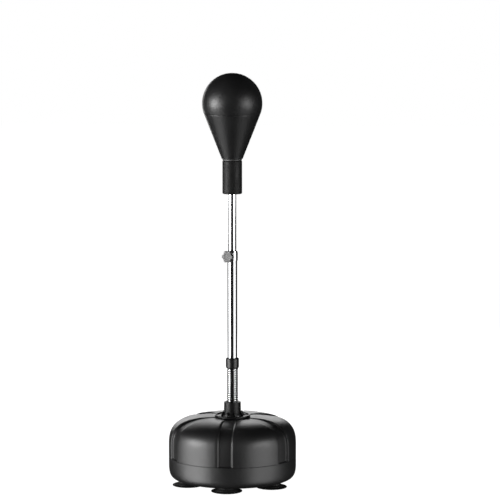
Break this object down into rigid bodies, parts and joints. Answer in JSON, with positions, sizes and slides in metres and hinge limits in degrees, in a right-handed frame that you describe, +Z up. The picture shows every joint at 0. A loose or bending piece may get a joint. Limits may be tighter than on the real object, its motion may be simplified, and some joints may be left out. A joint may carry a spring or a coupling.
{
  "type": "free-standing reflex boxing ball",
  "caption": "Free-standing reflex ball: teardrop ball on a telescopic pole, coil spring and fillable drum base with suction cups.",
  "frame": {"origin": "on the floor under the pole, at the centre of the base", "axes": "+Z up along the pole; -Y to the front, through the middle of one channel of the drum; +X to the right"},
  "size_m": [0.398, 0.398, 1.2759],
  "materials": {
    "black_plastic": "satin black moulded plastic",
    "black_rubber": "matt black rubber and foam",
    "leather": "smooth black synthetic leather with a soft sheen",
    "chrome": "bright chrome plating on steel",
    "zinc": "zinc-plated steel",
    "black_steel": "black oxide steel",
    "nylon": "natural nylon"
  },
  "bodies": {
    "base": {"base_tank": "black_plastic", "hub_socket": "black_plastic", "hub_screw_1": "zinc", "hub_screw_2": "zinc", "hub_screw_3": "zinc", "hub_screw_4": "zinc", "suction_cup_1": "black_rubber", "suction_cup_2": "black_rubber", "suction_cup_3": "black_rubber", "suction_cup_4": "black_rubber", "suction_cup_5": "black_rubber", "suction_cup_6": "black_rubber", "cup_stud_1": "zinc", "cup_stud_2": "zinc", "cup_stud_3": "zinc", "cup_stud_4": "zinc", "cup_stud_5": "zinc", "cup_stud_6": "zinc", "lower_spring_plug": "black_steel", "plug_bolt": "zinc"},
    "coil_spring": {"spring": "chrome"},
    "lower_pole": {"upper_spring_plug": "black_steel", "spring_collar": "black_plastic", "collar_screw": "black_steel", "lower_tube": "chrome", "clamp_ring": "chrome", "clamp_nut": "chrome"},
    "pole_guide": {"guide_bush": "nylon"},
    "upper_pole": {"upper_tube": "chrome", "ball_sleeve": "black_rubber", "neck_washer": "black_rubber", "neck_disc": "zinc", "neck_nut": "zinc", "tube_cap": "black_plastic", "ball_skin": "leather", "bladder": "black_rubber", "air_valve": "black_rubber"},
    "clamp_tip": {"clamp_pad": "nylon"},
    "clamp_knob": {"clamp_stud": "zinc", "star_knob": "black_plastic"},
    "filler_seal": {"cap_gasket": "black_rubber"},
    "filler_cap": {"fill_cap": "black_plastic"}
  },
  "joints": [
    {"name": "side_sway", "type": "hinge", "parent": "base", "child": "coil_spring", "pos_m": [0, 0, 0.278], "axis": [0, 1, 0], "range_deg": [-45, 45], "stiffness_Nm_per_rad": 60, "deforming": ["spring"]},
    {"name": "fore_aft_sway", "type": "hinge", "parent": "coil_spring", "child": "lower_pole", "pos_m": [0, 0, 0.331], "axis": [1, 0, 0], "range_deg": [-45, 45], "stiffness_Nm_per_rad": 60, "deforming": ["spring"]},
    {"name": "pole_height", "type": "slide", "parent": "lower_pole", "child": "pole_guide", "axis": [0, 0, 1], "range_m": [-0.14, 0.1]},
    {"name": "pole_turn", "type": "hinge", "parent": "pole_guide", "child": "upper_pole", "pos_m": [0, 0, 0.545], "axis": [0, 0, 1], "continuous": true},
    {"name": "clamp_travel", "type": "slide", "parent": "lower_pole", "child": "clamp_tip", "axis": [-0.3256, -0.9455, 0], "range_m": [0, 0.002]},
    {"name": "clamp_turn", "type": "hinge", "parent": "clamp_tip", "child": "clamp_knob", "pos_m": [-0.01042, -0.03026, 0.71], "axis": [-0.3256, -0.9455, 0], "range_deg": [0, 721]},
    {"name": "cap_lift", "type": "slide", "parent": "base", "child": "filler_seal", "axis": [0, 0, 1], "range_m": [0, 0.012]},
    {"name": "cap_turn", "type": "hinge", "parent": "filler_seal", "child": "filler_cap", "pos_m": [0, 0.1, 0.2], "axis": [0, 0, 1], "range_deg": [0, 1081]}
  ],
  "couplings": [
    {"joint": "clamp_turn", "follows": "clamp_travel", "rad_per_m": 6283.2},
    {"joint": "cap_turn", "follows": "cap_lift", "rad_per_m": 1570.8}
  ]
}
